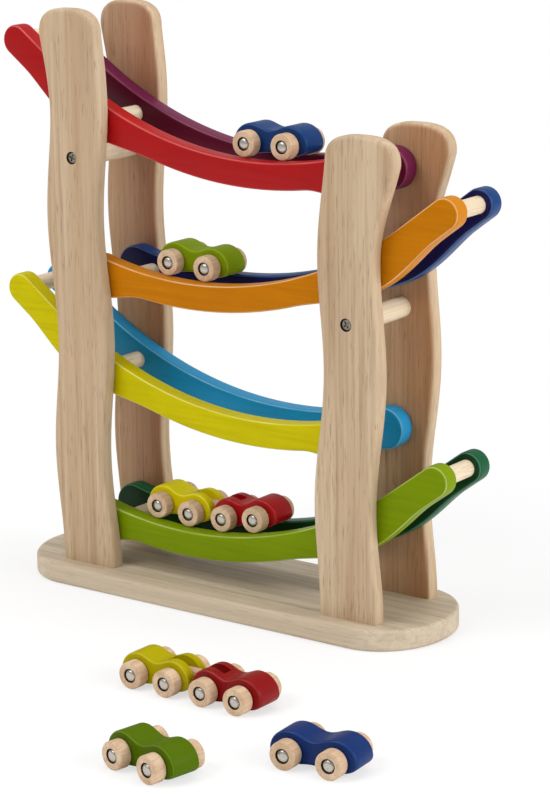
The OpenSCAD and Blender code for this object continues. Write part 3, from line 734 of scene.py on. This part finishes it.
def make_axle(name):
    """An axle rod along Y with a domed cap at each end."""
    dome_r, dome_y = CAP_R - CAP_EDGE_R, CAP_SEAT_Y + CAP_RIM_H
    edge = [(dome_r + CAP_EDGE_R * cos(a), dome_y - CAP_EDGE_R + CAP_EDGE_R * sin(a))
            for a in spread(CAP_EDGE_STEPS, 0, pi / 2)]
    dome = [(dome_r * cos(a), dome_y + CAP_DOME_H * sin(a))
            for a in spread(CAP_DOME_STEPS, 0, pi / 2)[1:-1]]
    right = ([(AXLE_R, CAP_SEAT_Y), (CAP_R, CAP_SEAT_Y)] + edge + dome
             + [(0, dome_y + CAP_DOME_H)])
    left = [(r, -y) for r, y in reversed(right)]
    return painted(lathe(name, left + right), NICKEL)


def axle_frame(rear, front):
    """Middle and directions of what lies between two wheel nodes, and their axles' distance."""
    ends = [sum(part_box(node), Vector()) / 2 for node in (rear, front)]
    along = ends[1] - ends[0]
    base = along.length
    along.normalize()
    across = Vector((0, 0, 1)).cross(along).normalized()
    matrix = Matrix((along, across, along.cross(across))).transposed().to_4x4()
    matrix.translation = (ends[0] + ends[1]) / 2
    return matrix, base


def make_car(name, place, colour, forked):
    """A car or, with a fork for the link at its front, one half of a double one."""
    car = f"{name}_{place}"
    matrix, base = axle_frame(car + "_rear_wheels", car + "_front_wheels")
    nose = FORK_NOSE_L if forked else NOSE_L
    body = soft_plate(car + "_painted", body_outline(base, nose), BODY_W, BODY_EDGE_R)
    painted(body, CAR_PAINTS[place][colour])
    if forked:
        slot_w, reach = LINK_T + 2 * WHEEL_GAP, LINK_H / 2 + FORK_ROOM
        cut(body, block((base / 2 - reach, -slot_w / 2, -KEEL_H - BIT_REACH),
                        (base / 2 + nose + BIT_REACH, slot_w / 2, HUMP_H + BIT_REACH),
                        CAR_PAINTS[place][colour]))
    placed(body, matrix)
    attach(body, car)
    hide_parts(car + "_body")
    axles = [placed(make_axle(f"{car}_axle_{k}"), matrix @ Matrix.Translation((x, 0, 0)))
             for k, x in enumerate((-base / 2, base / 2))]
    ride_as(car + "_axle_set", axles, car, car + "_axles")
    for end, x in (("rear", -base / 2), ("front", base / 2)):
        wheels = []
        for side in (-1, 1):
            degrees = SIDE_WHEEL_TURN * side + (REAR_WHEEL_TURN if end == "rear" else 0)
            seat = (Matrix.Translation((x, 0, 0)) @ Matrix.Scale(side, 4, (0, 1, 0))
                    @ Matrix.Translation((0, WHEEL_IN_Y, 0)))
            turn = Matrix.Rotation(radians(degrees), 4, "Y")
            wheels.append(placed(make_wheel(f"{car}_{end}_{side}"), matrix @ seat @ turn))
        body_name = f"{car}_{end}_wheels"
        ride_as(body_name + "_turned", wheels, body_name, body_name)


def make_link(place):
    """The link of a double car, with a bore round each of the two axles that it joins."""
    matrix, length = axle_frame(f"yellow_{place}_front_wheels", f"red_{place}_front_wheels")

    def outline(inset):
        return oval(length / 2, LINK_H / 2 - inset, LINK_H / 2 - inset, END_STEPS)

    link = painted(soft_plate(place + "_link_wood", outline, LINK_T, LINK_EDGE_R), LINK_WOOD)
    reach = LINK_T / 2 + BIT_REACH
    for x in (-length / 2, length / 2):
        cut(link, placed(drill(AXLE_R + RUN_GAP, -reach, reach), Matrix.Translation((x, 0, 0))))
    placed(link, matrix)
    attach(link, place + "_link")
    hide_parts(place + "_link")


def make_cars():
    for place in ("track", "floor"):
        make_car("blue", place, "blue", forked=False)
        make_car("green", place, "lime", forked=False)
        make_car("yellow", place, "yellow", forked=True)
        make_car("red", place, "red", forked=True)
        make_link(place)


# Stage, light and camera

FLOOR_REACH = 30.0
FLOOR_COLOUR = (0.93, 0.93, 0.93, 1.0)

# The floor's glow for the camera: its share near the toy, and the distances between which it grows
GLOW_LEAST, GLOW_START, GLOW_FULL = 0.62, 0.25, 0.7

WORLD_STRENGTH = 0.55
LIGHT_TARGET = (0.0, 0.0, 0.18)

FRAME_W, FRAME_H, SENSOR_W = 550, 795, 36
FOCAL_PX = 2690.6
CAMERA_PLACE = (1.0008, -1.345, 0.5594)
CAMERA_YAW, CAMERA_PITCH, CAMERA_ROLL = radians(35.85), radians(14.26), radians(-0.61)
CLIP_END = 100


def floor_paper():
    """Pale paper that keeps the toy's shadow and turns white for the camera further out."""
    look = Look("floor_paper", roughness=0.9, shine=0.1)
    look.filled(look.shader, {"Base Color": FLOOR_COLOUR})
    distance = look.added("VectorMath", {0: look.place})
    distance.operation = "LENGTH"
    fade = look.share(distance.outputs["Value"], start=GLOW_START, full=GLOW_FULL, least=GLOW_LEAST)
    seen = look.added("LightPath").outputs["Is Camera Ray"]
    glow = look.added("Emission", {"Color": WHITE, "Strength": 1.0})
    mix = look.added("MixShader", {"Fac": look.calculated("MULTIPLY", seen, fade),
                                   1: look.shader.outputs["BSDF"], 2: glow.outputs["Emission"]})
    look.filled(look.tree.nodes["Material Output"], {"Surface": mix.outputs["Shader"]})
    return look.material


def make_floor():
    """A pale floor that reaches past the view."""
    corners = [(x * FLOOR_REACH, y * FLOOR_REACH, 0)
               for x, y in ((-1, -1), (1, -1), (1, 1), (-1, 1))]
    floor = add_object("floor", bpy.data.meshes.new("floor"))
    floor.data.from_pydata(corners, [], [(0, 1, 2, 3)])
    painted(floor, floor_paper())


def make_lamp(name, place, size, power):
    """A square lamp that faces the toy."""
    lamp = bpy.data.lights.new(name, "AREA")
    lamp.size = size
    lamp.energy = power
    obj = add_object(name, lamp)
    obj.location = place
    obj.rotation_euler = (Vector(LIGHT_TARGET) - Vector(place)).to_track_quat("-Z", "Y").to_euler()


def make_light():
    """Soft lamps in a white room that the camera sees brighter than it shines."""
    world = bpy.data.worlds.new("studio")
    bpy.context.scene.world = world
    world.use_nodes = True
    nodes, links = world.node_tree.nodes, world.node_tree.links
    nodes["Background"].inputs["Color"].default_value = WHITE
    strength = nodes.new("ShaderNodeMapRange")
    strength.inputs["To Min"].default_value = WORLD_STRENGTH
    seen = nodes.new("ShaderNodeLightPath").outputs["Is Camera Ray"]
    links.new(seen, strength.inputs["Value"])
    links.new(strength.outputs["Result"], nodes["Background"].inputs["Strength"])
    make_lamp("key", place=(-0.9, -1.7, 2.0), size=1.4, power=29)
    make_lamp("side", place=(2.3, 0.3, 1.1), size=1.4, power=30)
    make_lamp("top", place=(0.1, 0.3, 2.4), size=1.6, power=14)


def make_camera():
    camera = bpy.data.cameras.new("camera")
    camera.sensor_width = SENSOR_W
    camera.lens = FOCAL_PX * SENSOR_W / max(FRAME_W, FRAME_H)
    camera.clip_end = CLIP_END
    obj = add_object("camera", camera)
    obj.location = CAMERA_PLACE
    obj.rotation_mode = "QUATERNION"
    turn = Euler((pi / 2 - CAMERA_PITCH, 0, CAMERA_YAW), "XYZ").to_quaternion()
    obj.rotation_quaternion = turn @ Euler((0, 0, CAMERA_ROLL), "XYZ").to_quaternion()
    bpy.context.scene.camera = obj


make_camera()
make_base()
make_posts()
make_ramps()
make_screws()
make_cars()
make_floor()
make_light()
bpy.context.scene.view_settings.view_transform = "Standard"
